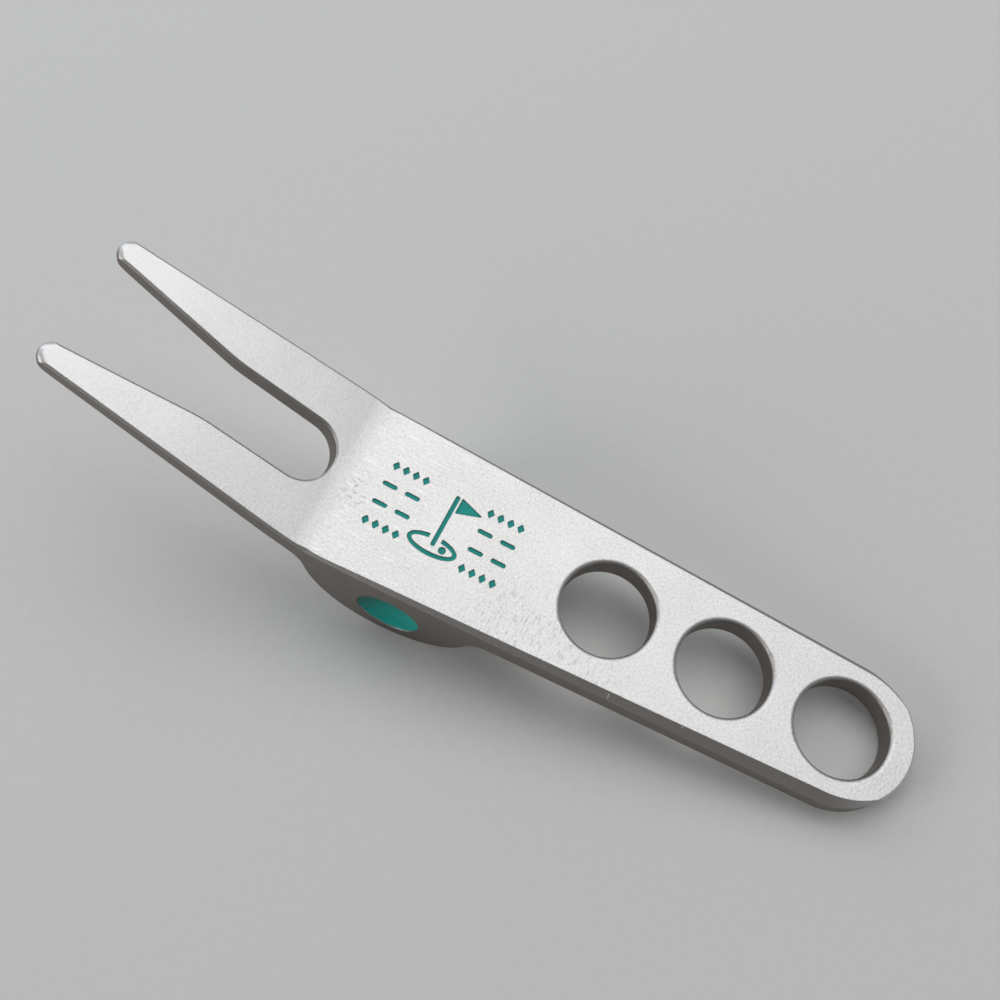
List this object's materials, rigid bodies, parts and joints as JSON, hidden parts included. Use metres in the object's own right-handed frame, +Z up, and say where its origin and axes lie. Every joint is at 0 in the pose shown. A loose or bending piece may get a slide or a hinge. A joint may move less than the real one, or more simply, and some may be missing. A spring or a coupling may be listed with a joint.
{
  "type": "divot repair tool",
  "caption": "Two-tined golf divot repair tool milled from one bar, with a round fulcrum hump, a raised fork, a pierced flat handle and teal enamel in small engraved marks.",
  "frame": {"origin": "on the surface that the tool lies on, under the middle of its outline", "axes": "+X along the tool towards the fork tips, +Y to the tool's left side, +Z up; the tool lies at rest on the lower edge of its tail and on the hump"},
  "size_m": [0.082, 0.0168, 0.0256],
  "materials": {
    "blasted_aluminium": "fine bead-blasted, satin",
    "teal_enamel": "hard-dried paint fill, slightly glossy"
  },
  "bodies": {
    "root": {"milled_body": "blasted_aluminium", "flagstick_paint": "teal_enamel", "pennant_paint": "teal_enamel", "putting_green_paint": "teal_enamel", "ball_paint": "teal_enamel", "top_diamonds_paint": "teal_enamel", "upper_dashes_paint": "teal_enamel", "lower_dashes_paint": "teal_enamel", "bottom_diamonds_paint": "teal_enamel", "side_dot_paint_left": "teal_enamel", "side_dot_paint_right": "teal_enamel"}
  },
  "joints": []
}
